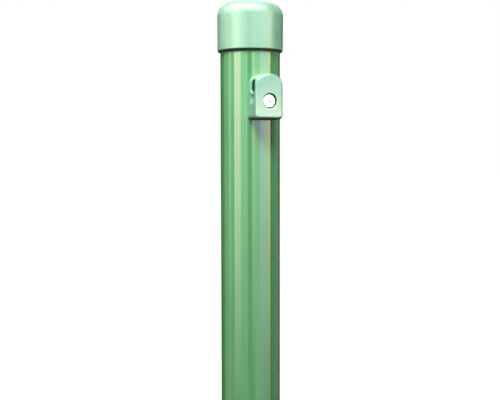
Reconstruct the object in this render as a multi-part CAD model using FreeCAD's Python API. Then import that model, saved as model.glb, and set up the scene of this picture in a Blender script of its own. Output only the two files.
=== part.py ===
import FreeCAD, Part
import math
import os

# A round steel fence post for chain-link fencing. A coated tube carries a push-on plastic cap
# and three moulded wire holders, each held to the tube by one self-drilling screw.
# Millimetres. The origin is the centre of the tube's foot end, +Z runs up the post, and the
# wire holders face -Y, so that a tension wire runs along X.

# Post tube
POST_LENGTH = 1500.0
TUBE_DIAMETER = 38.0
TUBE_WALL = 1.5
TUBE_EDGE_BREAK = 0.3
WELD_BEAD_WIDTH = 3.0
WELD_BEAD_HEIGHT = 0.5

# Post cap
CAP_WALL = 1.9
CAP_RIM_WALL = 1.75
CAP_RIM_FLAT = 0.1
CAP_CLEARANCE = 0.1
CAP_SKIRT_LENGTH = 22.5
CAP_SHOULDER_RADIUS = 8.8
CAP_CROWN = 1.1
CAP_LEAD_IN = 0.2
CAP_RIB_COUNT = 8
CAP_RIB_WIDTH = 1.2
CAP_RIB_CLEARANCE = 0.03

# Where the post stands in the ground and where the wires run
BURIED_LENGTH = 450.0
BOTTOM_WIRE_ABOVE_GROUND = 80.0
TOP_HOLDER_BELOW_CAP = 15.0

# Wire holder, its outline as it is at the front, from where it widens towards the tube
HOLDER_WIDTH = 18.3
HOLDER_HEIGHT = 28.1
HOLDER_DEPTH = 10.3
HOLDER_DRAFT = 1.5
HOLDER_ARCH_RADIUS = 11.8
HOLDER_SHOULDER_ROUNDING = 2.2
HOLDER_FOOT_ROUNDING = 2.7
HOLDER_FRONT_ROUNDING = 2.0
HOLDER_SEAT_ROUNDING = 0.5
HOLDER_CLEARANCE = 0.05
HOLDER_WALL = 1.8

# Wire slot across the holder
SLOT_WIDTH = 5.0
SLOT_HEIGHT = 7.9
SLOT_ABOVE_FOOT = 20.4
SLOT_FROM_TUBE = 4.4
SLOT_MOUTH_ROUNDING = 0.8

# Shallow dimple in each side of the holder
DIMPLE_RADIUS = 5.0
DIMPLE_DEPTH = 0.7
DIMPLE_ABOVE_FOOT = 12.6
DIMPLE_FROM_TUBE = 4.0

# Holder screw and its holes
SCREW_DIAMETER = 4.2
SCREW_ROOT_DIAMETER = 3.1
SCREW_PITCH = 1.4
SCREW_LENGTH = 13.0
SCREW_NECK_LENGTH = 0.6
SCREW_POINT_DIAMETER = 3.4
SCREW_POINT_LENGTH = 4.0
SCREW_POINT_ANGLE = 118.0
FLUTE_RADIUS = 1.3
FLUTE_DEPTH = 0.9
HEAD_DIAMETER = 8.0
HEAD_HEIGHT = 2.4
HEAD_EDGE_HEIGHT = 1.8
HEAD_SINK = 0.7
SCREW_ABOVE_FOOT = 11.2
HEAD_CLEARANCE = 0.6
BOSS_WALL = 1.4
POCKET_MOUTH_ROUNDING = 0.5
SHANK_CLEARANCE = 0.2
THREAD_CLEARANCE = 0.05

# Cross recess in the screw head
CROSS_SPAN = 4.4
CROSS_WING = 1.0
CROSS_DEPTH = 1.6
CROSS_TAPER = 0.5
CROSS_TURN = 45.0

# Sizes that follow from the ones above
TUBE_RADIUS = TUBE_DIAMETER / 2
BORE_RADIUS = TUBE_RADIUS - TUBE_WALL
CAP_BORE_RADIUS = TUBE_RADIUS + CAP_CLEARANCE
CAP_RADIUS = CAP_BORE_RADIUS + CAP_WALL
CAP_RIM_RADIUS = CAP_BORE_RADIUS + CAP_RIM_WALL
CAP_RIM_ROUNDING = CAP_RIM_WALL - CAP_RIM_FLAT - CAP_LEAD_IN
CAP_RIM_Z = POST_LENGTH - CAP_SKIRT_LENGTH
FRONT_RADIUS = TUBE_RADIUS + HOLDER_DEPTH
HOLDER_SPREAD = FRONT_RADIUS * math.tan(math.radians(HOLDER_DRAFT))
SEAT_RADIUS = TUBE_RADIUS + HOLDER_CLEARANCE
HEAD_SEAT_RADIUS = FRONT_RADIUS - HEAD_SINK - HEAD_HEIGHT
TOP_FOOT_Z = CAP_RIM_Z - TOP_HOLDER_BELOW_CAP - HOLDER_HEIGHT
BOTTOM_FOOT_Z = BURIED_LENGTH + BOTTOM_WIRE_ABOVE_GROUND - SLOT_ABOVE_FOOT
HOLDER_FOOT_Z = {
    "top": TOP_FOOT_Z,
    "middle": (TOP_FOOT_Z + BOTTOM_FOOT_Z) / 2,
    "bottom": BOTTOM_FOOT_Z,
}

# How far a cutter runs past a face, and how close two places count as one
OVERRUN = 2.0
NEAR = 1e-4

ORIGIN = FreeCAD.Vector(0, 0, 0)
X_AXIS = FreeCAD.Vector(1, 0, 0)
Y_AXIS = FreeCAD.Vector(0, 1, 0)
Z_AXIS = FreeCAD.Vector(0, 0, 1)


def point(x, y, z):
    return FreeCAD.Vector(x, y, z)


def line(start, end):
    return Part.LineSegment(start, end).toShape()


def arc(centre, radius, start_angle, end_angle):
    """An arc in the XZ plane, its angles in radians from +X towards +Z."""
    def at(angle):
        return centre + point(radius * math.cos(angle), 0, radius * math.sin(angle))
    return Part.Arc(at(start_angle), at((start_angle + end_angle) / 2), at(end_angle)).toShape()


def face_within(edges):
    return Part.Face(Part.Wire(Part.__sortEdges__(edges)))


def turned(edges):
    """The solid of revolution about Z of a closed outline in the XZ plane."""
    return face_within(edges).revolve(ORIGIN, Z_AXIS, 360)


def rod(radius, start, end):
    return Part.makeCylinder(radius, (end - start).Length, start, end - start)


def edges_where(shape, test):
    return [edge for edge in shape.Edges if test(edge)]


def runs_front_to_back(edge):
    return edge.BoundBox.YLength > FRONT_RADIUS - NEAR


def lies_at_y(edge, y):
    box = edge.BoundBox
    return abs(box.YMin - y) < NEAR and abs(box.YMax - y) < NEAR


def lies_at_radius(edge, radius):
    """True where the whole edge lies on the cylinder of this radius about Z."""
    return all(abs(math.hypot(place.x, place.y) - radius) < NEAR for place in edge.discretize(5))


# Post tube

def bore():
    """The tube's inside, with a groove along its rear that leaves the weld bead standing."""
    start = point(0, 0, -OVERRUN)
    end = point(0, 0, POST_LENGTH + OVERRUN)
    bead_radius = (WELD_BEAD_WIDTH ** 2 / 4 + WELD_BEAD_HEIGHT ** 2) / (2 * WELD_BEAD_HEIGHT)
    aside = point(0, BORE_RADIUS + bead_radius - WELD_BEAD_HEIGHT, 0)
    return rod(BORE_RADIUS, start, end).cut(rod(bead_radius, start + aside, end + aside))


def bore_edge_break(end, direction):
    return Part.makeCone(BORE_RADIUS + TUBE_EDGE_BREAK, BORE_RADIUS, TUBE_EDGE_BREAK, end, direction)


def post_tube():
    tube = rod(TUBE_RADIUS, ORIGIN, point(0, 0, POST_LENGTH))
    rims = edges_where(tube, lambda edge: edge.BoundBox.ZLength < NEAR)
    tube = tube.makeChamfer(TUBE_EDGE_BREAK, rims)
    tube = tube.cut(bore())
    tube = tube.cut(bore_edge_break(ORIGIN, Z_AXIS))
    tube = tube.cut(bore_edge_break(point(0, 0, POST_LENGTH), -Z_AXIS))
    for foot_z in HOLDER_FOOT_Z.values():
        screw_z = foot_z + SCREW_ABOVE_FOOT
        outside = point(0, -TUBE_RADIUS - OVERRUN, screw_z)
        inside = point(0, -BORE_RADIUS + OVERRUN, screw_z)
        tube = tube.cut(rod(SCREW_DIAMETER / 2 + THREAD_CLEARANCE, outside, inside))
    return tube


# Post cap

def dome_arcs(corner, radius, top_z):
    """A shoulder arc about corner, then a wide crown arc tangent to it that ends on the axis."""
    rise = top_z - corner.z
    crown_radius = (corner.x ** 2 + rise ** 2 - radius ** 2) / (2 * (rise - radius))
    meeting_angle = math.atan2(crown_radius - rise, corner.x)
    shoulder = arc(corner, radius, 0, meeting_angle)
    crown = arc(point(0, 0, top_z - crown_radius), crown_radius, meeting_angle, math.pi / 2)
    return [shoulder, crown]


def cap_shell():
    """The cap turned from one outline: a skirt that narrows to its rounded rim, the shoulder, the
    crown, and inside it the seat for the tube's end."""
    corner = point(CAP_RADIUS - CAP_SHOULDER_RADIUS, 0, POST_LENGTH)
    top_z = corner.z + CAP_SHOULDER_RADIUS + CAP_CROWN
    inner_radius = CAP_SHOULDER_RADIUS - CAP_WALL
    ceiling_z = corner.z + inner_radius
    hollow_angle = math.acos((BORE_RADIUS - corner.x) / inner_radius)
    hollow_edge = point(BORE_RADIUS, 0, corner.z + inner_radius * math.sin(hollow_angle))
    rim_centre = point(CAP_RIM_RADIUS - CAP_RIM_ROUNDING, 0, CAP_RIM_Z + CAP_RIM_ROUNDING)
    rim_outer = point(rim_centre.x, 0, CAP_RIM_Z)
    rim_inner = point(CAP_BORE_RADIUS + CAP_LEAD_IN, 0, CAP_RIM_Z)
    lead_in_top = point(CAP_BORE_RADIUS, 0, CAP_RIM_Z + CAP_LEAD_IN)
    seat_outer = point(CAP_BORE_RADIUS, 0, POST_LENGTH)
    seat_inner = point(BORE_RADIUS, 0, POST_LENGTH)
    edges = [
        line(rim_inner, rim_outer),
        arc(rim_centre, CAP_RIM_ROUNDING, -math.pi / 2, 0),
        line(point(CAP_RIM_RADIUS, 0, rim_centre.z), point(CAP_RADIUS, 0, corner.z)),
        line(point(0, 0, top_z), point(0, 0, ceiling_z)),
        line(point(0, 0, ceiling_z), point(corner.x, 0, ceiling_z)),
        arc(corner, inner_radius, math.pi / 2, hollow_angle),
        line(hollow_edge, seat_inner),
        line(seat_inner, seat_outer),
        line(seat_outer, lead_in_top),
        line(lead_in_top, rim_inner),
    ]
    return turned(edges + dome_arcs(corner, CAP_SHOULDER_RADIUS, top_z))


def grip_rib():
    """One upright rib inside the skirt, which grips the tube."""
    bottom_z = CAP_RIM_Z + CAP_LEAD_IN
    root = CAP_BORE_RADIUS + CAP_WALL / 2
    start = point(0, 0, bottom_z)
    end = point(0, 0, POST_LENGTH)
    block = Part.makeBox(root, CAP_RIB_WIDTH, POST_LENGTH - bottom_z, point(0, -CAP_RIB_WIDTH / 2, bottom_z))
    return block.cut(rod(TUBE_RADIUS + CAP_RIB_CLEARANCE, start, end))


def post_cap():
    cap = cap_shell()
    for number in range(CAP_RIB_COUNT):
        rib = grip_rib()
        rib.rotate(ORIGIN, Z_AXIS, (number + 0.5) * 360 / CAP_RIB_COUNT)
        cap = cap.fuse(rib)
    return cap.removeSplitter()


# Wire holder, with its foot at z = 0

def arched_wedge(inset):
    """The holder's outline, set in all round and carried from its front to the tube's axis. It
    widens on the way, as it must to leave its mould."""
    half = HOLDER_WIDTH / 2 - inset
    radius = HOLDER_ARCH_RADIUS - inset
    arch_z = HOLDER_HEIGHT - HOLDER_ARCH_RADIUS

    def wedge(low_z, high_z, foot_spread, top_spread):
        return Part.makeWedge(
            -half, -FRONT_RADIUS, low_z, low_z - foot_spread, -half - HOLDER_SPREAD,
            half, 0, high_z, high_z + top_spread, half + HOLDER_SPREAD)

    arch = Part.makeCone(radius + HOLDER_SPREAD, radius, FRONT_RADIUS, point(0, 0, arch_z), -Y_AXIS)
    top = wedge(arch_z, arch_z + radius, 0, HOLDER_SPREAD).common(arch)
    return top.fuse(wedge(inset, arch_z, HOLDER_SPREAD, 0)).removeSplitter()


def holder_block():
    """The holder before anything is cut from it, with its outline and its front edge rounded."""
    block = arched_wedge(0)
    for rounding, at_foot in ((HOLDER_FOOT_ROUNDING, True), (HOLDER_SHOULDER_ROUNDING, False)):
        corners = edges_where(
            block, lambda edge: runs_front_to_back(edge) and (edge.BoundBox.ZMax < NEAR) == at_foot)
        block = block.makeFillet(rounding, corners)
    front = edges_where(block, lambda edge: lies_at_y(edge, -FRONT_RADIUS))
    return block.makeFillet(HOLDER_FRONT_ROUNDING, front)


def slot_bar():
    """The section of the wire slot, rounded above and below, as a bar along X."""
    reach = HOLDER_WIDTH / 2 + OVERRUN
    radius = SLOT_WIDTH / 2
    centre_y = -TUBE_RADIUS - SLOT_FROM_TUBE
    low_z = SLOT_ABOVE_FOOT - SLOT_HEIGHT / 2 + radius
    high_z = SLOT_ABOVE_FOOT + SLOT_HEIGHT / 2 - radius
    bar = Part.makeBox(2 * reach, SLOT_WIDTH, high_z - low_z, point(-reach, centre_y - radius, low_z))
    for z in (low_z, high_z):
        bar = bar.fuse(rod(radius, point(-reach, centre_y, z), point(reach, centre_y, z)))
    return bar.removeSplitter()


def with_wire_slot(holder):
    """The holder with the slot cut through it and both mouths of the slot rounded."""
    bar = slot_bar()
    reach = bar.BoundBox
    holder = holder.cut(bar)

    def is_mouth(edge):
        box = edge.BoundBox
        inside_y = box.YMin > reach.YMin - NEAR and box.YMax < reach.YMax + NEAR
        inside_z = box.ZMin > reach.ZMin - NEAR and box.ZMax < reach.ZMax + NEAR
        return inside_y and inside_z and box.XLength < HOLDER_WIDTH / 2

    return holder.makeFillet(SLOT_MOUTH_ROUNDING, edges_where(holder, is_mouth))


def dimple(side):
    offset = HOLDER_WIDTH / 2 - DIMPLE_DEPTH + DIMPLE_RADIUS
    return Part.makeSphere(DIMPLE_RADIUS, point(side * offset, -TUBE_RADIUS - DIMPLE_FROM_TUBE, DIMPLE_ABOVE_FOOT))


def with_screw_hole(holder):
    """The holder with the pocket for the screw's head and the hole for its shank."""
    front = point(0, -FRONT_RADIUS - OVERRUN, SCREW_ABOVE_FOOT)
    pocket_floor = point(0, -HEAD_SEAT_RADIUS, SCREW_ABOVE_FOOT)
    holder = holder.cut(rod(HEAD_DIAMETER / 2 + HEAD_CLEARANCE, front, pocket_floor))
    mouth = edges_where(holder, lambda edge: lies_at_y(edge, -FRONT_RADIUS) and edge.Closed)
    holder = holder.makeFillet(POCKET_MOUTH_ROUNDING, mouth)
    return holder.cut(rod(SCREW_DIAMETER / 2 + SHANK_CLEARANCE, front, point(0, 0, SCREW_ABOVE_FOOT)))


def cored_out(holder):
    """The holder with an even wall: hollow behind its front, round the boss that takes the screw."""
    front_wall = Part.makeBox(
        HOLDER_WIDTH, HOLDER_WALL, HOLDER_HEIGHT, point(-HOLDER_WIDTH / 2, -FRONT_RADIUS, 0))
    boss_radius = HEAD_DIAMETER / 2 + HEAD_CLEARANCE + BOSS_WALL
    boss = rod(boss_radius, point(0, -FRONT_RADIUS, SCREW_ABOVE_FOOT), point(0, 0, SCREW_ABOVE_FOOT))
    return holder.cut(arched_wedge(HOLDER_WALL).cut(front_wall).cut(boss))


def wire_holder():
    holder = holder_block()
    holder = holder.cut(rod(SEAT_RADIUS, point(0, 0, -OVERRUN), point(0, 0, HOLDER_HEIGHT + OVERRUN)))
    holder = holder.makeFillet(
        HOLDER_SEAT_ROUNDING, edges_where(holder, lambda edge: lies_at_radius(edge, SEAT_RADIUS)))
    holder = with_wire_slot(holder)
    for side in (-1, 1):
        holder = holder.cut(dimple(side))
    return cored_out(with_screw_hole(holder))


# Holder screw, made along Z with its point up and the underside of its head at z = 0

def screw_blank():
    """The screw turned from one outline: domed head, neck, thread ridges and drill point."""
    head_radius = HEAD_DIAMETER / 2
    root_radius = SCREW_ROOT_DIAMETER / 2
    point_radius = SCREW_POINT_DIAMETER / 2
    dome_rise = HEAD_HEIGHT - HEAD_EDGE_HEIGHT
    dome_radius = (head_radius ** 2 + dome_rise ** 2) / (2 * dome_rise)
    dome_centre = point(0, 0, dome_radius - HEAD_HEIGHT)
    dome_edge_angle = math.atan2(-HEAD_EDGE_HEIGHT - dome_centre.z, head_radius)
    ridge_count = int((SCREW_LENGTH - SCREW_POINT_LENGTH - SCREW_NECK_LENGTH) / SCREW_PITCH)
    thread_end = SCREW_NECK_LENGTH + ridge_count * SCREW_PITCH
    tip_length = point_radius / math.tan(math.radians(SCREW_POINT_ANGLE / 2))

    corners = [point(head_radius, 0, -HEAD_EDGE_HEIGHT), point(head_radius, 0, 0)]
    corners += [point(root_radius, 0, 0), point(root_radius, 0, SCREW_NECK_LENGTH)]
    for number in range(ridge_count):
        ridge_start = SCREW_NECK_LENGTH + number * SCREW_PITCH
        corners.append(point(SCREW_DIAMETER / 2, 0, ridge_start + SCREW_PITCH / 2))
        corners.append(point(root_radius, 0, ridge_start + SCREW_PITCH))
    corners += [point(point_radius, 0, thread_end), point(point_radius, 0, SCREW_LENGTH - tip_length)]
    corners += [point(0, 0, SCREW_LENGTH), point(0, 0, -HEAD_HEIGHT)]
    edges = [line(start, end) for start, end in zip(corners, corners[1:])]
    edges.append(arc(dome_centre, dome_radius, -math.pi / 2, dome_edge_angle))
    return turned(edges)


def rectangle(length, width, z):
    corners = [
        point(-length / 2, -width / 2, z),
        point(length / 2, -width / 2, z),
        point(length / 2, width / 2, z),
        point(-length / 2, width / 2, z),
    ]
    return Part.makePolygon(corners + corners[:1])


def cross_wing(angle):
    """One bar of the cross recess, narrowing towards its floor."""
    mouth = rectangle(CROSS_SPAN, CROSS_WING, -HEAD_HEIGHT)
    floor = rectangle(CROSS_SPAN - 4 * CROSS_TAPER, CROSS_WING - CROSS_TAPER, CROSS_DEPTH - HEAD_HEIGHT)
    wing = Part.makeLoft([mouth, floor], True, True)
    wing.rotate(ORIGIN, Z_AXIS, angle)
    return wing


def drill_flute(side):
    offset = side * (SCREW_POINT_DIAMETER / 2 + FLUTE_RADIUS - FLUTE_DEPTH)
    start = point(offset, 0, SCREW_LENGTH - SCREW_POINT_LENGTH + FLUTE_RADIUS)
    return rod(FLUTE_RADIUS, start, point(offset, 0, SCREW_LENGTH + OVERRUN))


def holder_screw():
    screw = screw_blank()
    for angle in (CROSS_TURN, CROSS_TURN + 90):
        screw = screw.cut(cross_wing(angle))
    for side in (-1, 1):
        screw = screw.cut(drill_flute(side))
    screw.rotate(ORIGIN, X_AXIS, -90)
    return screw


def placed(shape, offset):
    copy = shape.copy()
    copy.translate(offset)
    return copy


def all_nodes():
    nodes = {"post_tube": post_tube(), "post_cap": post_cap()}
    holder = wire_holder()
    screw = holder_screw()
    for place, foot_z in HOLDER_FOOT_Z.items():
        nodes["wire_holder_" + place] = placed(holder, point(0, 0, foot_z))
        nodes["holder_screw_" + place] = placed(screw, point(0, -HEAD_SEAT_RADIUS, foot_z + SCREW_ABOVE_FOOT))
    return nodes


os.makedirs("parts", exist_ok=True)
for name, solid in all_nodes().items():
    solid.exportStep("parts/" + name + ".step")
    print(name, "valid" if solid.isValid() else "NOT VALID", round(solid.Volume, 2), len(solid.Solids))
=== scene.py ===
import math

import bpy
import numpy as np
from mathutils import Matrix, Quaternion, Vector


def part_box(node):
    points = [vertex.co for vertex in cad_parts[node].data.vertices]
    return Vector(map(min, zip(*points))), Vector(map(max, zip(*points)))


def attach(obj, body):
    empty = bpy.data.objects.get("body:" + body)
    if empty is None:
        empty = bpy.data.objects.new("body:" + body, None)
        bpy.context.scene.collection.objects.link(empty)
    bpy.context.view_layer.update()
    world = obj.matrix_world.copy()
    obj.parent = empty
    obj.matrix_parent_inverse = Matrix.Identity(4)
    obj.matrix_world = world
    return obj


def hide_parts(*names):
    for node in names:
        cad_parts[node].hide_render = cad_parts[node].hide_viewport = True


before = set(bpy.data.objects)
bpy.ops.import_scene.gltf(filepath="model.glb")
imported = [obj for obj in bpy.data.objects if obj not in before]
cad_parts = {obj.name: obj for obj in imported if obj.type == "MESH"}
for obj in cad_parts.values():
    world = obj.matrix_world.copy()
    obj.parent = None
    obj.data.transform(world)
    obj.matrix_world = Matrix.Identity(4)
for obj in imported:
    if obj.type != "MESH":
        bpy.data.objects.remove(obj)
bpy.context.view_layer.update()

# A coated steel fence post with its plastic cap, its three wire holders and their screws.
# Everything is in metres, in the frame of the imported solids: +Z up the post, holders facing -Y.

MM = 0.001

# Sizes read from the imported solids
TUBE_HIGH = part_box("post_tube")[1]
CAP_LOW, CAP_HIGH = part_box("post_cap")
HOLDER_LOW, HOLDER_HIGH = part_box("wire_holder_top")
SCREW_LOW, SCREW_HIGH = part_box("holder_screw_top")
PLACES = ("top", "middle", "bottom")
SCREW_Z = {place: sum(corner.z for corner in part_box("holder_screw_" + place)) / 2 for place in PLACES}

TUBE_RADIUS = TUBE_HIGH.x
POST_LENGTH = TUBE_HIGH.z
CAP_RADIUS = CAP_HIGH.x
CAP_RIM_Z = CAP_LOW.z
CAP_TOP_Z = CAP_HIGH.z
FRONT_RADIUS = -HOLDER_LOW.y
HEAD_RADIUS = SCREW_HIGH.x
SCREW_TIP_RADIUS = -SCREW_HIGH.y

# Sizes that the solids' boxes don't show
TUBE_WALL = 1.5 * MM
TUBE_EDGE_BREAK = 0.3 * MM
WELD_BEAD_WIDTH = 3.0 * MM
WELD_BEAD_HEIGHT = 0.5 * MM
BORE_RADIUS = TUBE_RADIUS - TUBE_WALL

CAP_WALL = 1.9 * MM
CAP_RIM_RADIUS = CAP_RADIUS - 0.15 * MM
CAP_SHOULDER_RADIUS = 8.8 * MM
CAP_RIM_ROUNDING = 1.45 * MM
CAP_LEAD_IN = 0.2 * MM
CAP_RIB_COUNT = 8
CAP_RIB_WIDTH = 1.2 * MM
CAP_RIB_HEIGHT = 0.07 * MM

HOLDER_HALF_WIDTH = 9.15 * MM
HOLDER_HEIGHT = 28.1 * MM
HOLDER_DRAFT = math.radians(1.5)
ARCH_RADIUS = 11.8 * MM
SHOULDER_ROUNDING = 2.2 * MM
FOOT_ROUNDING = 2.7 * MM
FRONT_ROUNDING = 2.0 * MM
SEAT_ROUNDING = 0.5 * MM
SEAT_CLEARANCE = 0.05 * MM
HOLDER_WALL = 1.8 * MM
BOSS_WALL = 1.4 * MM
CORE_ROUNDING = 0.8 * MM

SLOT_WIDTH = 5.0 * MM
SLOT_HEIGHT = 7.9 * MM
SLOT_ABOVE_FOOT = 20.4 * MM
SLOT_FROM_TUBE = 4.4 * MM
SLOT_MOUTH_ROUNDING = 0.8 * MM

DIMPLE_RADIUS = 5.0 * MM
DIMPLE_DEPTH = 0.7 * MM
DIMPLE_ABOVE_FOOT = 12.6 * MM
DIMPLE_FROM_TUBE = 4.0 * MM
DIMPLE_EDGE_ROUNDING = 0.6 * MM

THREAD_RADIUS = 2.1 * MM
THREAD_ROOT_RADIUS = 1.55 * MM
THREAD_PITCH = 1.4 * MM
THREAD_HALF_ANGLE = math.radians(30)
NECK_LENGTH = 0.6 * MM
POINT_RADIUS = 1.7 * MM
POINT_LENGTH = 4.0 * MM
POINT_HALF_ANGLE = math.radians(59)
FLUTE_RADIUS = 1.3 * MM
FLUTE_DEPTH = 0.9 * MM
SCREW_ABOVE_FOOT = 11.2 * MM
HEAD_SINK = 0.7 * MM
HEAD_HEIGHT = 2.4 * MM
HEAD_EDGE_HEIGHT = 1.8 * MM
HEAD_EDGE_ROUNDING = 0.2 * MM
HEAD_CLEARANCE = 0.6 * MM
POCKET_MOUTH_ROUNDING = 0.5 * MM
SHANK_CLEARANCE = 0.2 * MM
CROSS_SPAN = 4.4 * MM
CROSS_WING = 1.0 * MM
CROSS_DEPTH = 1.6 * MM
CROSS_TAPER = 0.14
CROSS_END_TAPER = 3 * CROSS_TAPER
CROSS_TURN = math.radians(45)

HEAD_SEAT_RADIUS = FRONT_RADIUS - HEAD_SINK - HEAD_HEIGHT
SCREW_LENGTH = HEAD_SEAT_RADIUS - SCREW_TIP_RADIUS

# Where painted shade and painted sheen go on the finishes
RIM_SHADE_HEIGHT = 1.4 * MM
FOOT_SHADE_HEIGHT = 1.6 * MM
SHADE_FADE = 0.4 * MM
FOOT_SHADE_FADE = 2 * SHADE_FADE
POCKET_SHADE_MARGIN = 0.1 * MM
RECESS_SHADE = 0.35
RECESS_SHADE_START = 0.1
# A painted shadow on the tube just under the cap's rim
RIM_SHADOW_LOW_Z = CAP_RIM_Z - 1.5 * MM
RIM_SHADOW_HIGH_Z = CAP_RIM_Z - 0.3 * MM
# A painted sheen on the holders' fronts, paler towards the foot, and a painted highlight on their crowns
SHEEN_DEPTH = 2.5 * MM
SHEEN_AT_FOOT = 1.08
SHEEN_LOSS = 1.1
CROWN_HIGHLIGHT = 0.45
CROWN_START = 0.82
CROWN_FADE = 0.1

# How fine the surfaces are
RING_SEGMENTS = 256
BEND_STEPS = 14
HOLDER_GRID = 0.25 * MM
SCREW_GRID = 0.13 * MM
CARD_STEPS = 25
SETTLING_STEPS = 4
SLOPE_REACH = 1 / 20
LEAST_SLOPE = 0.1
SHARP_ANGLE = math.radians(35)


# Meshes

def new_piece(name, points, faces):
    """A mesh object from rows of points and rows of four corner numbers."""
    mesh = bpy.data.meshes.new(name)
    mesh.from_pydata(points.reshape(-1, 3), [], faces.reshape(-1, 4))
    mesh.shade_smooth()
    piece = bpy.data.objects.new(name, mesh)
    bpy.context.scene.collection.objects.link(piece)
    return piece


def straight(start, end, steps=1):
    """Points from start up to, not including, end, as rows of (radius, height)."""
    share = np.arange(steps)[:, None] / steps
    return np.array(start) * (1 - share) + np.array(end) * share


def bend(centre, radius, start_angle, end_angle):
    """Points along an arc, without its last one, as rows of (radius, height)."""
    angle = start_angle + (end_angle - start_angle) * np.arange(BEND_STEPS) / BEND_STEPS
    return np.array(centre) + radius * np.stack([np.cos(angle), np.sin(angle)], -1)


def turned_piece(name, outline, inward=None):
    """A closed outline carried round Z: the point of outline row (r, z) at angle t is
    ((r - d) cos t, (r - d) sin t, z), where d = inward(r, z, t) is how far it is pulled in."""
    turn = 2 * math.pi * np.arange(RING_SEGMENTS) / RING_SEGMENTS
    radius, height, turn = np.broadcast_arrays(outline[:, :1], outline[:, 1:], turn[None, :])
    if inward is not None:
        radius = radius - inward(radius, height, turn)
    points = np.stack([radius * np.cos(turn), radius * np.sin(turn), height], -1)
    number = np.arange(radius.size).reshape(radius.shape)
    beside = np.roll(number, -1, 1)
    faces = np.stack([number, beside, np.roll(beside, -1, 0), np.roll(number, -1, 0)], -1)
    piece = new_piece(name, points, faces)
    piece.data.set_sharp_from_angle(angle=SHARP_ANGLE)
    return piece


# Surfaces of fields. A field gives, for each point, about how far it lies outside the piece,
# and less than zero inside it.

def both(a, b, rounding=0.0):
    """The field of what lies inside a and inside b, its new edge rounded by this radius:
    min(max(a, b), -r) + length of (max(a + r, 0), max(b + r, 0))."""
    corner = np.hypot(np.maximum(a + rounding, 0), np.maximum(b + rounding, 0))
    return np.minimum(np.maximum(a, b), -rounding) + corner


def without(a, b, rounding=0.0):
    return both(a, -b, rounding)


def slope(field, points, reach):
    """The field's steepest direction at each point, from its values a little to each side."""
    steps = np.eye(3) * reach
    return np.stack([field(points + s) - field(points - s) for s in steps], -1) / (2 * reach)


def crossings(values, axis):
    """Where the field changes sign between neighbours along an axis, and how far along."""
    near = np.take(values, np.arange(values.shape[axis] - 1), axis)
    far = np.take(values, np.arange(1, values.shape[axis]), axis)
    found = np.argwhere((near < 0) != (far < 0))
    a = near[tuple(found.T)]
    b = far[tuple(found.T)]
    return found, a / (a - b), a < 0


def field_piece(name, field, low, high, grid):
    """The surface where a field is zero. Each grid cell that it crosses gets one point, the mean
    of the crossings on the cell's edges, and each crossed edge gets a quad that joins the four
    cells round it. The points then slide down the field's slope until it is zero there."""
    low = np.array(low) - 2 * grid
    count = np.ceil((np.array(high) + 2 * grid - low) / grid).astype(int) + 1
    places = [low[i] + grid * np.arange(count[i]) for i in range(3)]
    values = field(np.stack(np.meshgrid(*places, indexing="ij"), -1))
    total = np.zeros((*count, 3))
    hits = np.zeros(count)
    quads = []
    for axis in range(3):
        found, share, leaving = crossings(values, axis)
        spot = found.astype(float)
        spot[:, axis] += share
        one, two = [np.eye(3, dtype=int)[(axis + k) % 3] for k in (1, 2)]
        cells = [found, found - one, found - one - two, found - two]
        for cell in cells:
            np.add.at(total, tuple(cell.T), spot)
            np.add.at(hits, tuple(cell.T), 1)
        flat = np.stack([np.ravel_multi_index(tuple(cell.T), tuple(count)) for cell in cells], -1)
        quads.append(np.where(leaving[:, None], flat, flat[:, ::-1]))
    used = np.flatnonzero(hits.ravel())
    points = low + grid * total.reshape(-1, 3)[used] / hits.ravel()[used, None]
    for _ in range(SETTLING_STEPS):
        steepest = slope(field, points, grid * SLOPE_REACH)
        size = np.maximum((steepest ** 2).sum(-1), LEAST_SLOPE)
        points = points - steepest * (field(points) / size)[:, None]
    piece = new_piece(name, points, np.searchsorted(used, np.concatenate(quads)))
    normal = slope(field, points, grid * SLOPE_REACH)
    normal /= np.linalg.norm(normal, axis=-1, keepdims=True)
    piece.data.normals_split_custom_set_from_vertices(normal)
    return piece


def piece_points(piece):
    points = np.empty(len(piece.data.vertices) * 3, np.float32)
    piece.data.vertices.foreach_get("co", points)
    return points.reshape(-1, 3)


def add_note(piece, name, share):
    """Gives the points a share from 0 to 1 as an attribute, for the finish to read."""
    notes = piece.data.attributes.new(name, "FLOAT", "POINT").data
    notes.foreach_set("value", np.clip(share, 0, 1).astype(np.float32))


# Post tube

def post_tube():
    """The tube's wall carried round: outside up, over the top end, inside down, round the foot.
    The inside stands in by the weld bead, a circle's segment along the rear of the bore."""
    edge = TUBE_EDGE_BREAK
    outline = np.concatenate([
        bend((TUBE_RADIUS - edge, edge), edge, -math.pi / 2, 0),
        straight((TUBE_RADIUS, edge), (TUBE_RADIUS, POST_LENGTH - edge), 60),
        bend((TUBE_RADIUS - edge, POST_LENGTH - edge), edge, 0, math.pi / 2),
        straight((TUBE_RADIUS - edge, POST_LENGTH), (BORE_RADIUS + edge, POST_LENGTH)),
        straight((BORE_RADIUS + edge, POST_LENGTH), (BORE_RADIUS, POST_LENGTH - edge)),
        straight((BORE_RADIUS, POST_LENGTH - edge), (BORE_RADIUS, edge), 60),
        straight((BORE_RADIUS, edge), (BORE_RADIUS + edge, 0)),
        straight((BORE_RADIUS + edge, 0), (TUBE_RADIUS - edge, 0)),
    ])
    bead_radius = (WELD_BEAD_WIDTH ** 2 / 4 + WELD_BEAD_HEIGHT ** 2) / (2 * WELD_BEAD_HEIGHT)

    def bead(radius, height, turn):
        aside = BORE_RADIUS * np.abs(np.cos(turn))
        at_rear = (np.sin(turn) > 0) & (aside < WELD_BEAD_WIDTH / 2)
        rise = np.sqrt(np.maximum(bead_radius ** 2 - aside ** 2, 0)) - bead_radius + WELD_BEAD_HEIGHT
        return np.where(at_rear & (radius < BORE_RADIUS + edge / 2), np.maximum(rise, 0), 0)

    return turned_piece("post_tube_coated", outline, bead)


# Post cap

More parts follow.
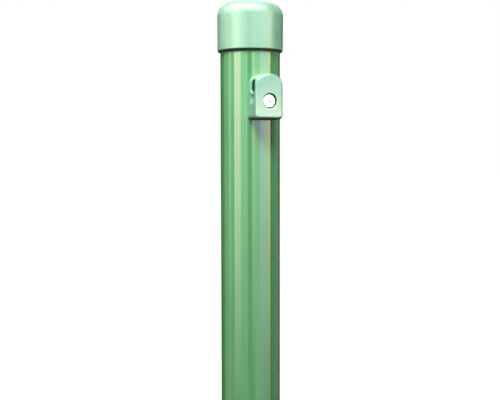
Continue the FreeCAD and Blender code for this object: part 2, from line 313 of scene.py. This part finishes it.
def post_cap():
    """The cap's wall carried round: rim, skirt, shoulder, crown, then back down inside to the seat
    on the tube's end and the grip ribs in the skirt."""
    corner_r = CAP_RADIUS - CAP_SHOULDER_RADIUS
    corner_z = POST_LENGTH
    rise = CAP_TOP_Z - corner_z
    crown = (corner_r ** 2 + rise ** 2 - CAP_SHOULDER_RADIUS ** 2) / (2 * (rise - CAP_SHOULDER_RADIUS))
    meeting = math.atan2(crown - rise, corner_r)
    inner = CAP_SHOULDER_RADIUS - CAP_WALL
    bore = CAP_RADIUS - CAP_WALL
    hollow = math.acos((BORE_RADIUS - corner_r) / inner)
    hollow_z = corner_z + inner * math.sin(hollow)
    round_r = CAP_RIM_RADIUS - CAP_RIM_ROUNDING
    tiny = 1e-6
    outline = np.concatenate([
        bend((round_r, CAP_RIM_Z + CAP_RIM_ROUNDING), CAP_RIM_ROUNDING, -math.pi / 2, 0),
        straight((CAP_RIM_RADIUS, CAP_RIM_Z + CAP_RIM_ROUNDING), (CAP_RADIUS, corner_z), 12),
        bend((corner_r, corner_z), CAP_SHOULDER_RADIUS, 0, meeting),
        bend((0, CAP_TOP_Z - crown), crown, meeting, math.pi / 2),
        straight((tiny, CAP_TOP_Z), (tiny, corner_z + inner)),
        straight((tiny, corner_z + inner), (corner_r, corner_z + inner), 4),
        bend((corner_r, corner_z), inner, math.pi / 2, hollow),
        straight((BORE_RADIUS, hollow_z), (BORE_RADIUS, corner_z)),
        straight((BORE_RADIUS, corner_z), (bore, corner_z)),
        straight((bore, corner_z), (bore, CAP_RIM_Z + CAP_LEAD_IN), 12),
        straight((bore, CAP_RIM_Z + CAP_LEAD_IN), (bore + CAP_LEAD_IN, CAP_RIM_Z)),
        straight((bore + CAP_LEAD_IN, CAP_RIM_Z), (round_r, CAP_RIM_Z)),
    ])

    def ribs(radius, height, turn):
        pitch = 2 * math.pi / CAP_RIB_COUNT
        aside = np.abs((turn % pitch) - pitch / 2) * radius
        in_skirt = (np.abs(radius - bore) < CAP_LEAD_IN / 10) & (height < corner_z)
        return np.where(in_skirt & (aside < CAP_RIB_WIDTH / 2), CAP_RIB_HEIGHT, 0)

    cap = turned_piece("post_cap_moulding", outline, ribs)
    # Painted shade on the rim's rounded underside, which faces down
    add_note(cap, "painted_shade", (CAP_RIM_Z + RIM_SHADE_HEIGHT - piece_points(cap)[:, 2]) / SHADE_FADE)
    return cap


# Wire holder

def holder_field(points):
    """The holder as built up from distances, with its foot at z = 0: an arched block with rounded
    edges that spreads by (y - front) tan(draft) on each side as it nears the tube, less the tube,
    the core behind its walls, the wire slot, the side dimples, the head's pocket and the hole."""
    x, y, z = np.moveaxis(points, -1, 0)
    spread = (y + FRONT_RADIUS) * math.tan(HOLDER_DRAFT)
    arch_z = HOLDER_HEIGHT - ARCH_RADIUS
    arch = np.hypot(x, np.maximum(z - arch_z, 0)) - ARCH_RADIUS - spread
    outline = both(np.abs(x) - HOLDER_HALF_WIDTH - spread, arch, SHOULDER_ROUNDING)
    outline = both(outline, -z - spread, FOOT_ROUNDING)
    block = both(outline, -FRONT_RADIUS - y, FRONT_ROUNDING)
    from_axis = np.hypot(x, y)
    block = without(block, from_axis - TUBE_RADIUS - SEAT_CLEARANCE, SEAT_ROUNDING)
    block = both(block, y)

    from_screw = np.hypot(x, z - SCREW_ABOVE_FOOT)
    core = both(outline + HOLDER_WALL, HOLDER_WALL - FRONT_RADIUS - y, CORE_ROUNDING)
    boss_radius = HEAD_RADIUS + HEAD_CLEARANCE + BOSS_WALL
    block = without(block, both(core, boss_radius - from_screw))

    straight_half = (SLOT_HEIGHT - SLOT_WIDTH) / 2
    slot_y = y + TUBE_RADIUS + SLOT_FROM_TUBE
    slot_z = np.maximum(np.abs(z - SLOT_ABOVE_FOOT) - straight_half, 0)
    block = without(block, np.hypot(slot_y, slot_z) - SLOT_WIDTH / 2, SLOT_MOUTH_ROUNDING)

    ball_x = np.abs(x) - (HOLDER_HALF_WIDTH - DIMPLE_DEPTH + DIMPLE_RADIUS)
    ball_y = y + TUBE_RADIUS + DIMPLE_FROM_TUBE
    ball = np.sqrt(ball_x ** 2 + ball_y ** 2 + (z - DIMPLE_ABOVE_FOOT) ** 2) - DIMPLE_RADIUS
    block = without(block, ball, DIMPLE_EDGE_ROUNDING)

    pocket = both(from_screw - HEAD_RADIUS - HEAD_CLEARANCE, y + HEAD_SEAT_RADIUS)
    block = without(block, pocket, POCKET_MOUTH_ROUNDING)
    return without(block, from_screw - THREAD_RADIUS - SHANK_CLEARANCE)


def wire_holder():
    """The holder, with painted shade under its foot and in the pocket by the distance from their
    edges. Its front gets a painted sheen, paler by the share at the foot less the loss times h,
    where h is the share of the height, and its crown a little painted highlight."""
    foot_z = SCREW_Z["top"] - SCREW_ABOVE_FOOT
    low = (HOLDER_LOW.x, HOLDER_LOW.y, HOLDER_LOW.z - foot_z)
    high = (HOLDER_HIGH.x, HOLDER_HIGH.y, HOLDER_HIGH.z - foot_z)
    holder = field_piece("wire_holder", holder_field, low, high, HOLDER_GRID)
    x, y, z = piece_points(holder).T
    # Painted shade under the foot and on the pocket's walls
    under = (FOOT_SHADE_HEIGHT - z) / FOOT_SHADE_FADE
    pocket_radius = HEAD_RADIUS + HEAD_CLEARANCE + POCKET_SHADE_MARGIN
    in_pocket = np.hypot(x, z - SCREW_ABOVE_FOOT) < pocket_radius
    pocket = in_pocket * (y + FRONT_RADIUS - POCKET_MOUTH_ROUNDING / 2) / SHADE_FADE
    add_note(holder, "painted_shade", np.maximum(under, pocket))
    # Painted sheen on the front, paler towards the foot, and a painted highlight on the crown
    up = z / HOLDER_HEIGHT
    at_front = np.clip(1 - (y + FRONT_RADIUS) / SHEEN_DEPTH, 0, 1)
    at_crown = CROWN_HIGHLIGHT * np.clip((up - CROWN_START) / CROWN_FADE, 0, 1) * (1 - at_front)
    add_note(holder, "painted_sheen", at_front * (SHEEN_AT_FOOT - SHEEN_LOSS * up) + at_crown)
    return holder


# Holder screw

def screw_field(points):
    """The screw from distances, its axis along +Y and the underside of its head at y = 0: a domed
    head with a cross recess, a helical thread whose radius at depth y and angle t falls off with
    the distance to the nearest turn, and a fluted drill point."""
    x, depth, z = np.moveaxis(points, -1, 0)
    from_axis = np.hypot(x, z)

    dome_rise = HEAD_HEIGHT - HEAD_EDGE_HEIGHT
    dome_radius = (HEAD_RADIUS ** 2 + dome_rise ** 2) / (2 * dome_rise)
    dome = np.hypot(from_axis, depth + HEAD_HEIGHT - dome_radius) - dome_radius
    head = both(both(from_axis - HEAD_RADIUS, dome, HEAD_EDGE_ROUNDING), depth, HEAD_EDGE_ROUNDING)
    head = both(head, -HEAD_HEIGHT - depth)
    across = x * math.cos(CROSS_TURN) + z * math.sin(CROSS_TURN)
    along = z * math.cos(CROSS_TURN) - x * math.sin(CROSS_TURN)
    below_top = depth + HEAD_HEIGHT
    for a, b in ((across, along), (along, across)):
        wing_end = np.abs(a) - CROSS_SPAN / 2 + CROSS_END_TAPER * below_top
        wing_side = np.abs(b) - CROSS_WING / 2 + CROSS_TAPER * below_top
        wing = np.maximum(wing_end, wing_side)
        head = without(head, np.maximum(wing, below_top - CROSS_DEPTH))

    turns = depth / THREAD_PITCH - np.arctan2(z, x) / (2 * math.pi)
    from_crest = np.abs(turns - np.round(turns)) * THREAD_PITCH
    ridge = THREAD_RADIUS - from_crest / math.tan(THREAD_HALF_ANGLE)
    thread_end = SCREW_LENGTH - POINT_LENGTH
    fade = np.minimum(depth - NECK_LENGTH, thread_end - depth)
    ridge = np.minimum(ridge, THREAD_ROOT_RADIUS + fade)
    shank = (from_axis - np.maximum(ridge, THREAD_ROOT_RADIUS)) * math.cos(THREAD_HALF_ANGLE)
    shank = np.maximum(shank, depth - thread_end)

    tip = (depth - SCREW_LENGTH) * math.sin(POINT_HALF_ANGLE) + from_axis * math.cos(POINT_HALF_ANGLE)
    drill = np.maximum(np.maximum(from_axis - POINT_RADIUS, tip), thread_end - depth)
    flute_x = np.abs(x) - (POINT_RADIUS + FLUTE_RADIUS - FLUTE_DEPTH)
    flute_start = np.maximum(thread_end + FLUTE_RADIUS - depth, 0)
    flute = np.sqrt(flute_x ** 2 + z ** 2 + flute_start ** 2) - FLUTE_RADIUS
    drill = without(drill, flute)
    return np.minimum(np.minimum(head, np.maximum(shank, -depth)), drill)


def holder_screw():
    """The screw, with painted shade in its cross by the depth below the dome, whose height over the
    head's edge is rise (1 - (distance from the axis / head's radius) squared)."""
    low = (-HEAD_RADIUS, -HEAD_HEIGHT, -HEAD_RADIUS)
    high = (HEAD_RADIUS, SCREW_LENGTH, HEAD_RADIUS)
    screw = field_piece("holder_screw", screw_field, low, high, SCREW_GRID)
    x, depth, z = piece_points(screw).T
    above_edge = (HEAD_HEIGHT - HEAD_EDGE_HEIGHT) * (1 - (x ** 2 + z ** 2) / HEAD_RADIUS ** 2)
    below_dome = depth + HEAD_EDGE_HEIGHT + above_edge
    in_cross = (np.hypot(x, z) < (CROSS_SPAN + CROSS_WING) / 2) & (depth < 0)
    depth_share = np.clip(below_dome / SHADE_FADE - RECESS_SHADE_START, 0, 1)
    add_note(screw, "painted_shade", RECESS_SHADE * in_cross * depth_share)
    return screw


def moved_copy(piece, name, offset):
    """A piece of its own at this offset, with the place in its mesh and its normals kept."""
    copy = piece.copy()
    copy.data = piece.data.copy()
    copy.name = name
    copy.data.name = name
    points = piece_points(copy) + np.array(offset, np.float32)
    copy.data.vertices.foreach_set("co", points.ravel())
    copy.data.update()
    bpy.context.scene.collection.objects.link(copy)
    return copy


# Materials

COATING_TONES = ((0.100, 0.362, 0.122), (0.113, 0.398, 0.135))
CAP_TONES = ((0.30, 0.56, 0.40), (0.35, 0.59, 0.42))
HOLDER_TONES = ((0.18, 0.42, 0.30), (0.23, 0.48, 0.33))
SHEEN_TONES = ((0.58, 0.80, 0.62), (0.68, 0.86, 0.64))
ZINC_TONES = ((0.80, 0.81, 0.83), (0.70, 0.72, 0.74))
# The near-black painted shade and the dull roughness that comes with it
PAINTED_SHADE_TONE = (0.006, 0.012, 0.007)
PAINTED_SHADE_ROUGHNESS = 0.85
GLOSS_IOR = 1.5


def new_material(name, roughness=0.5, metallic=0.0):
    material = bpy.data.materials.new(name)
    material.use_nodes = True
    shader = material.node_tree.nodes["Principled BSDF"]
    shader.inputs["Roughness"].default_value = roughness
    shader.inputs["Metallic"].default_value = metallic
    return material, material.node_tree, shader


def add_node(tree, kind, inputs=None, **settings):
    """A node with these settings. Its inputs are values, or sockets of other nodes to link from."""
    node = tree.nodes.new(kind)
    for name, value in settings.items():
        setattr(node, name, value)
    for name, value in (inputs or {}).items():
        if isinstance(value, bpy.types.NodeSocket):
            tree.links.new(value, node.inputs[name])
        else:
            node.inputs[name].default_value = value
    return node


def new_group(name, inputs, outputs):
    """A node group with its named inputs, each with a start value, and its named outputs."""
    group = bpy.data.node_groups.new(name, "ShaderNodeTree")
    for socket, kind, value in inputs:
        group.interface.new_socket(socket, in_out="INPUT", socket_type=kind).default_value = value
    for socket, kind in outputs:
        group.interface.new_socket(socket, in_out="OUTPUT", socket_type=kind)
    return group, group.nodes.new("NodeGroupInput"), group.nodes.new("NodeGroupOutput")


def millimetres(tree, stretch=(1, 1, 1)):
    """Object coordinates in millimetres, shrunk along each axis by its stretch."""
    place = add_node(tree, "ShaderNodeTexCoord")
    inputs = {"Vector": place.outputs["Object"], "Scale": [1 / MM / axis for axis in stretch]}
    return add_node(tree, "ShaderNodeMapping", inputs).outputs[0]


def noise(tree, vector, size, detail=2.0, rough=0.5):
    inputs = {"Vector": vector, "Scale": 1.0, "Detail": detail, "Roughness": rough}
    node = add_node(tree, "ShaderNodeTexNoise", inputs)
    if isinstance(size, bpy.types.NodeSocket):
        divide = add_node(tree, "ShaderNodeMath", {0: 1.0, 1: size}, operation="DIVIDE")
        tree.links.new(divide.outputs[0], node.inputs["Scale"])
    else:
        node.inputs["Scale"].default_value = 1 / size
    return node.outputs["Fac"]


def ranged(tree, value, low, high, from_low=0.3, from_high=0.7):
    inputs = {"Value": value, "From Min": from_low, "From Max": from_high, "To Min": low, "To Max": high}
    return add_node(tree, "ShaderNodeMapRange", inputs, clamp=True).outputs[0]


def summed(tree, a, b):
    return add_node(tree, "ShaderNodeMath", {0: a, 1: b}, operation="ADD").outputs[0]


def product(tree, a, b):
    return add_node(tree, "ShaderNodeMath", {0: a, 1: b}, operation="MULTIPLY").outputs[0]


def mottle_group():
    """A colour that drifts between two tones over patches of one size, and the mask it does so by."""
    group, given, result = new_group(
        "mottle",
        [("Tone A", "NodeSocketColor", (0.5, 0.5, 0.5, 1)),
         ("Tone B", "NodeSocketColor", (0.4, 0.4, 0.4, 1)),
         ("Patch Size", "NodeSocketFloat", 10.0)],
        [("Color", "NodeSocketColor"), ("Mask", "NodeSocketFloat")])
    patches = noise(group, millimetres(group, (1, 1, 1.6)), given.outputs["Patch Size"], 4.0, 0.55)
    mask = ranged(group, patches, 0.0, 1.0, 0.32, 0.68)
    blend = add_node(group, "ShaderNodeMix", data_type="RGBA")
    group.links.new(mask, blend.inputs["Factor"])
    group.links.new(given.outputs["Tone A"], blend.inputs["A"])
    group.links.new(given.outputs["Tone B"], blend.inputs["B"])
    group.links.new(blend.outputs["Result"], result.inputs["Color"])
    group.links.new(mask, result.inputs["Mask"])
    return group


def skin_group():
    """The height in millimetres of a finish: grain of one size and depth over slow waves."""
    group, given, result = new_group(
        "skin",
        [("Grain Size", "NodeSocketFloat", 1.0), ("Grain Depth", "NodeSocketFloat", 0.002),
         ("Wave Size", "NodeSocketFloat", 15.0), ("Wave Depth", "NodeSocketFloat", 0.02)],
        [("Height", "NodeSocketFloat")])
    parts = []
    for name, stretch in (("Grain", (1, 1, 1)), ("Wave", (1, 1, 3))):
        waves = noise(group, millimetres(group, stretch), given.outputs[name + " Size"], 2.0, 0.4)
        parts.append(product(group, waves, given.outputs[name + " Depth"]))
    group.links.new(summed(group, *parts), result.inputs["Height"])
    return group


def painted_shade_group():
    """A colour and a roughness that give way to near-black, dull painted shade where the mask is 1."""
    group, given, result = new_group(
        "painted_shade",
        [("Mask", "NodeSocketFloat", 0.0), ("Color", "NodeSocketColor", (0.5, 0.5, 0.5, 1)),
         ("Roughness", "NodeSocketFloat", 0.3)],
        [("Color", "NodeSocketColor"), ("Roughness", "NodeSocketFloat")])
    blend = add_node(group, "ShaderNodeMix", data_type="RGBA")
    group.links.new(given.outputs["Mask"], blend.inputs["Factor"])
    group.links.new(given.outputs["Color"], blend.inputs["A"])
    blend.inputs["B"].default_value = (*PAINTED_SHADE_TONE, 1)
    group.links.new(blend.outputs["Result"], result.inputs["Color"])
    dull = add_node(group, "ShaderNodeMix", data_type="FLOAT")
    group.links.new(given.outputs["Mask"], dull.inputs["Factor"])
    group.links.new(given.outputs["Roughness"], dull.inputs["A"])
    dull.inputs["B"].default_value = PAINTED_SHADE_ROUGHNESS
    group.links.new(dull.outputs["Result"], result.inputs["Roughness"])
    return group


MOTTLE = mottle_group()
SKIN = skin_group()
PAINTED_SHADE = painted_shade_group()


def with_painted_shade(tree, shader, mask):
    """Covers a shader's colour and roughness with painted shade by a mask."""
    painted_shade = add_node(tree, "ShaderNodeGroup", node_tree=PAINTED_SHADE)
    tree.links.new(mask, painted_shade.inputs["Mask"])
    for given, socket in (("Color", "Base Color"), ("Roughness", "Roughness")):
        tree.links.new(shader.inputs[socket].links[0].from_socket, painted_shade.inputs[given])
        tree.links.new(painted_shade.outputs[given], shader.inputs[socket])


def noted(tree, name):
    """The share that a piece's points were given under this name."""
    return add_node(tree, "ShaderNodeAttribute", attribute_name=name).outputs["Fac"]


def finished(tree, shader, tones, patch, rough, grain, wave):
    """Puts the mottled colour, the roughness that follows it and the skin's bump on a shader.
    The grain and the wave are each a size and a depth in millimetres."""
    inputs = {"Tone A": (*tones[0], 1), "Tone B": (*tones[1], 1), "Patch Size": patch}
    mottle = add_node(tree, "ShaderNodeGroup", node_tree=MOTTLE, name="mottle")
    for socket, value in inputs.items():
        mottle.inputs[socket].default_value = value
    tree.links.new(mottle.outputs["Color"], shader.inputs["Base Color"])
    tree.links.new(ranged(tree, mottle.outputs["Mask"], *rough, 0.0, 1.0), shader.inputs["Roughness"])
    height = add_node(tree, "ShaderNodeGroup", node_tree=SKIN)
    for socket, value in zip(("Grain Size", "Grain Depth", "Wave Size", "Wave Depth"), (*grain, *wave)):
        height.inputs[socket].default_value = value
    bump = add_node(tree, "ShaderNodeBump", {"Height": height.outputs["Height"], "Distance": MM})
    tree.links.new(bump.outputs["Normal"], shader.inputs["Normal"])


def coating_material():
    """Glossy green coating over the steel, with a faint orange peel and the tube's slow waves,
    and a painted shadow line under the cap's rim."""
    material, tree, shader = new_material("green_coating")
    finished(tree, shader, COATING_TONES, patch=22.0, rough=(0.07, 0.11), grain=(1.6, 0.003),
             wave=(18.0, 0.05))
    shader.inputs["IOR"].default_value = GLOSS_IOR
    place = add_node(tree, "ShaderNodeTexCoord").outputs["Object"]
    height = add_node(tree, "ShaderNodeSeparateXYZ", {0: place}).outputs["Z"]
    with_painted_shade(tree, shader, ranged(tree, height, 0.0, 1.0, RIM_SHADOW_LOW_Z, RIM_SHADOW_HIGH_Z))
    return material


def plastic_material(name, tones, patch):
    """Light green moulded plastic with a soft gloss, with painted shade where the pieces' points say so.
    """
    material, tree, shader = new_material(name)
    finished(tree, shader, tones, patch, rough=(0.26, 0.34), grain=(0.5, 0.0025), wave=(9.0, 0.02))
    shader.inputs["IOR"].default_value = GLOSS_IOR
    with_painted_shade(tree, shader, noted(tree, "painted_shade"))
    return material


def holder_material():
    """The holders' plastic, paled by a painted sheen and a painted highlight where the pieces' points
    say so.
    """
    material = plastic_material("holder_plastic", HOLDER_TONES, patch=9.0)
    tree = material.node_tree
    mottle = tree.nodes["mottle"]
    share = noted(tree, "painted_sheen")
    for socket, pale in zip(("Tone A", "Tone B"), SHEEN_TONES):
        blend = add_node(tree, "ShaderNodeMix", data_type="RGBA")
        tree.links.new(share, blend.inputs["Factor"])
        blend.inputs["A"].default_value = mottle.inputs[socket].default_value
        blend.inputs["B"].default_value = (*pale, 1)
        tree.links.new(blend.outputs["Result"], mottle.inputs[socket])
    return material


def zinc_material():
    """Bright zinc plating with fine scratches, and painted shade in the screws' cross recess."""
    material, tree, shader = new_material("bright_zinc", metallic=1.0)
    finished(tree, shader, ZINC_TONES, patch=1.2, rough=(0.26, 0.38), grain=(0.25, 0.004),
             wave=(2.0, 0.004))
    with_painted_shade(tree, shader, noted(tree, "painted_shade"))
    return material


# The object's pieces

def place_pieces():
    tube = post_tube()
    cap = post_cap()
    holder = wire_holder()
    screw = holder_screw()
    pieces = [(tube, "post_tube", "tube_coating"), (cap, "post_cap", "cap_plastic")]
    for place in PLACES:
        foot = (0, 0, SCREW_Z[place] - SCREW_ABOVE_FOOT)
        seat = (0, -HEAD_SEAT_RADIUS, SCREW_Z[place])
        holder_node = "wire_holder_" + place
        screw_node = "holder_screw_" + place
        here = moved_copy(holder, holder_node + "_moulding", foot)
        pieces.append((here, holder_node, "holder_plastic"))
        here = moved_copy(screw, screw_node + "_zinc", seat)
        pieces.append((here, screw_node, "zinc_screw"))
    for pattern in (holder, screw):
        bpy.data.objects.remove(pattern)
    finish = {
        "tube_coating": coating_material(),
        "cap_plastic": plastic_material("cap_plastic", CAP_TONES, patch=8.0),
        "holder_plastic": holder_material(),
        "zinc_screw": zinc_material(),
    }
    for piece, node, slot in pieces:
        piece.data.materials.append(finish[slot])
        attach(piece, "root")
        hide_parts(node)


# Studio

CAMERA_TURN = math.radians(-24.64)
CAMERA_TILT = math.radians(-3.5)
CAMERA_ROLL = math.radians(-0.113)
CAMERA_DISTANCE = 579.4 * MM
CAMERA_HEIGHT = 1418.8 * MM
FRAME_WIDTH_PX = 500
AXIS_OFFSET_PX = 0.43
SENSOR_WIDTH = 36.0
LENS = 64.8
LIT_POINT = Vector((0, 0, 1.45))
WHITE = (1, 1, 1)
WORLD_LEVEL = 0.08

# Soft lamps: name, turn and rise from the camera's side in degrees, level, distance, size over
# distance
SOFT_LIGHTS = (
    ("key_light", -12, 55, 1.50, 1.0, 0.35),
    ("left_light", -75, 40, 0.40, 1.4, 0.6),
    ("right_light", 66, 42, 0.12, 3.0, 0.6),
    ("back_light", 180, 40, 0.7, 3.0, 0.6),
)

# Lamps for the post below the photo's frame: name and turn
LOW_LIGHTS = (
    ("low_front_light", 0),
    ("low_left_light", -100),
    ("low_right_light", 100),
    ("low_back_light", 180),
)
LOW_LIT_POINT = Vector((0, 0, 0.3))
LOW_LAMP_DISTANCE = 1.6
LOW_LAMP_HEIGHT = 0.9
LOW_LAMP_SIZE = 0.3
LOW_LAMP_POWER = 2.0
LOW_LAMP_CONE = math.radians(50)

FLOOR_HALF_WIDTH = 30.0
FLOOR_GLOW = (0.3, 1.0)
FLOOR_GLOW_RADII = (0.6, 2.5)
FLOOR_TONE = (0.05, 0.75)

# Cards that only gloss sees. A row is a name, the turns that the card reaches over, its tint,
# and the rises where its glow has a given level. Between them the glow fades evenly.
CARD_DISTANCE = 3.1
CARD_GLOW = 15.0
LEAF = (0.52, 1.00, 0.53)
MINT = (0.62, 1.00, 0.72)
PALE = (0.75, 1.00, 0.76)
CREAM = (1.00, 1.00, 0.72)
MIST = (0.62, 0.86, 1.00)
WARM = (1.00, 0.92, 0.84)
CARDS = (
    ("far_left_card", (-117, -104), MINT, ((-20, 1), (28, 2))),
    ("left_edge_card", (-93, -80), PALE, ((-20, 1), (4, 5), (28, 5))),
    ("left_green_card", (-80, -70), LEAF, ((-20, 1), (4, 3), (28, 3))),
    ("left_warm_card", (-65, -37), WARM, ((-20, 1), (4, 11), (28, 11))),
    ("left_mint_card", (-37, -10), MINT, ((-20, 2), (4, 6), (28, 6))),
    ("front_card", (6, 18), PALE, ((-20, 1), (4, 8), (28, 8))),
    ("right_soft_card", (18, 38), PALE, ((-20, 3), (4, 6), (28, 6))),
    ("right_blue_card", (38, 56), MIST, ((-20, 3), (4, 10), (28, 10))),
    ("right_warm_card", (56, 84), CREAM, ((-20, 2), (4, 9), (28, 9))),
    ("far_right_card", (90, 140), LEAF, ((-20, 1), (28, 2))),
    ("overhead_card", (-105, 70), WARM, ((31, 8), (50, 14), (76, 14))),
)

# Black cards, which keep the bright surroundings out of the gloss
FLAGS = (("right_flag", (84, 165)), ("left_flag", (-180, -119)))
FLAG_RISES = (-26, 60)
FLAG_DISTANCE = CARD_DISTANCE + 0.4
GROUND_FLAG_INNER_RADIUS = 0.03
GROUND_FLAG_HEIGHT = 0.02


def from_post(turn, rise, distance):
    """The place at this distance from the lit point, turned to the right from the camera's side and
    raised, both in degrees."""
    angle = CAMERA_TURN + math.radians(turn)
    rise = math.radians(rise)
    flat = Vector((math.sin(angle), -math.cos(angle), 0)) * math.cos(rise)
    return LIT_POINT + (flat + Vector((0, 0, math.sin(rise)))) * distance


def new_lamp(name, spot, size, power, lit_point):
    """A square lamp that faces a point and shows neither to the camera nor in gloss."""
    lamp = bpy.data.lights.new(name, "AREA")
    lamp.shape = "SQUARE"
    lamp.size = size
    lamp.energy = power
    lamp.color = WHITE
    stand = bpy.data.objects.new(name, lamp)
    stand.location = spot
    stand.rotation_euler = (lit_point - spot).to_track_quat("-Z", "Y").to_euler()
    stand.visible_camera = False
    stand.visible_glossy = False
    bpy.context.scene.collection.objects.link(stand)
    return stand


def soft_light(name, turn, rise, level, distance, spread):
    """A soft lamp. A white face turned to it renders at this level, for which its power is the
    level times pi squared times its distance squared."""
    power = level * math.pi ** 2 * distance ** 2
    new_lamp(name, from_post(turn, rise, distance), distance * spread, power, LIT_POINT)


def low_light(name, turn):
    """A soft lamp whose narrow cone lights the post below the photo's frame."""
    spot = from_post(turn, 0, LOW_LAMP_DISTANCE)
    spot.z = LOW_LAMP_HEIGHT
    lamp = new_lamp(name, spot, LOW_LAMP_SIZE, LOW_LAMP_POWER, LOW_LIT_POINT)
    lamp.data.spread = LOW_LAMP_CONE


def background_rays(tree):
    """1 for the rays that see the background: from the camera, off gloss and through glass."""
    path = add_node(tree, "ShaderNodeLightPath").outputs
    seen = summed(tree, path["Is Camera Ray"], path["Is Glossy Ray"])
    seen = summed(tree, seen, path["Is Transmission Ray"])
    return ranged(tree, seen, 0.0, 1.0, 0.0, 1.0)


def light_studio():
    world = bpy.data.worlds.new("studio")
    world.use_nodes = True
    tree = world.node_tree
    background = tree.nodes["Background"]
    background.inputs["Color"].default_value = (*WHITE, 1)
    level = ranged(tree, background_rays(tree), WORLD_LEVEL, 1.0, 0.0, 1.0)
    tree.links.new(level, background.inputs["Strength"])
    bpy.context.scene.world = world
    for lamp in SOFT_LIGHTS:
        soft_light(*lamp)
    for name, turn in LOW_LIGHTS:
        low_light(name, turn)


def stage_floor():
    """A pale floor that takes the object's shadow, and glows white further out to the rays that
    see the background."""
    size = FLOOR_HALF_WIDTH
    points = np.array([(-size, -size, 0), (size, -size, 0), (size, size, 0), (-size, size, 0)])
    floor = new_piece("floor", points, np.array([[0, 1, 2, 3]]))
    material, tree, shader = new_material("pale_floor", 0.9)
    shader.inputs["Specular IOR Level"].default_value = 0.0
    seen = background_rays(tree)
    colour = ranged(tree, seen, *FLOOR_TONE, 0.0, 1.0)
    tree.links.new(colour, shader.inputs["Base Color"])
    shader.inputs["Emission Color"].default_value = (*WHITE, 1)
    place = add_node(tree, "ShaderNodeTexCoord").outputs["Object"]
    away = add_node(tree, "ShaderNodeVectorMath", {0: place}, operation="LENGTH").outputs["Value"]
    glow = ranged(tree, away, *FLOOR_GLOW, *FLOOR_GLOW_RADII)
    tree.links.new(product(tree, glow, seen), shader.inputs["Emission Strength"])
    floor.data.materials.append(material)


def height_at(rise):
    """The height of a card's point that shows at this rise from the lit point."""
    return LIT_POINT.z + CARD_DISTANCE * math.tan(math.radians(rise))


def new_card(name, turn, low, high, colour=None):
    """A card that only gloss sees: the line from low to high, each a radius and a height, carried
    round the post from one turn to the other. It is black, or glows in a colour's socket."""
    angle = CAMERA_TURN + np.radians(np.linspace(*turn, CARD_STEPS))
    across, height = np.array([low, high]).T
    points = np.stack(np.broadcast_arrays(
        np.outer(across, np.sin(angle)), -np.outer(across, np.cos(angle)), height[:, None]), -1)
    number = np.arange(len(angle) - 1)
    faces = np.stack([number, number + 1, number + 1 + len(angle), number + len(angle)], -1)
    card = new_piece(name, points, faces)
    material, tree, shader = new_material(name, 1.0)
    shader.inputs["Base Color"].default_value = (0, 0, 0, 1)
    shader.inputs["Specular IOR Level"].default_value = 0.0
    if colour:
        tree.links.new(colour(tree), shader.inputs["Emission Color"])
        shader.inputs["Emission Strength"].default_value = CARD_GLOW
        material.cycles.emission_sampling = "NONE"
    card.data.materials.append(material)
    card.visible_camera = False
    card.visible_diffuse = False
    card.visible_shadow = False
    card.visible_transmission = False


def glow_card(name, turn, tint, levels):
    """An upright card in one tint, whose glow runs through the levels: each a rise and a level."""
    low, high = height_at(levels[0][0]), height_at(levels[-1][0])

    def colour(tree):
        place = add_node(tree, "ShaderNodeTexCoord").outputs["Object"]
        height = add_node(tree, "ShaderNodeSeparateXYZ", {0: place}).outputs["Z"]
        ramp = add_node(tree, "ShaderNodeValToRGB", {"Fac": ranged(tree, height, 0.0, 1.0, low, high)})
        marks = ramp.color_ramp.elements
        while len(marks) < len(levels):
            marks.new(1.0)
        for mark, (rise, level) in zip(marks, levels):
            mark.position = (height_at(rise) - low) / (high - low)
            mark.color = (*[part * level / CARD_GLOW for part in tint], 1)
        return ramp.outputs["Color"]

    new_card(name, turn, (CARD_DISTANCE, low), (CARD_DISTANCE, high), colour)


def hang_cards():
    """The cards that the glossy coating mirrors as upright streaks, and the black ones."""
    for card in CARDS:
        glow_card(*card)
    low, high = [height_at(rise) for rise in FLAG_RISES]
    for name, turn in FLAGS:
        new_card(name, turn, (FLAG_DISTANCE, low), (FLAG_DISTANCE, high))
    new_card("ground_flag", (-180, 180), (GROUND_FLAG_INNER_RADIUS, GROUND_FLAG_HEIGHT),
             (CARD_DISTANCE, GROUND_FLAG_HEIGHT))


def set_camera():
    camera = bpy.data.objects.new("camera", bpy.data.cameras.new("camera"))
    camera.data.sensor_width = SENSOR_WIDTH
    camera.data.lens = LENS
    camera.data.shift_x = -AXIS_OFFSET_PX / FRAME_WIDTH_PX
    side = Vector((math.sin(CAMERA_TURN), -math.cos(CAMERA_TURN), 0))
    camera.location = side * CAMERA_DISTANCE + Vector((0, 0, CAMERA_HEIGHT))
    view = Vector((0, 0, math.tan(CAMERA_TILT))) - side
    turn = view.to_track_quat("-Z", "Y") @ Quaternion((0, 0, 1), CAMERA_ROLL)
    camera.rotation_euler = turn.to_euler()
    bpy.context.scene.collection.objects.link(camera)
    bpy.context.scene.camera = camera
    bpy.context.scene.view_settings.view_transform = "Standard"


place_pieces()
light_studio()
stage_floor()
hang_cards()
set_camera()
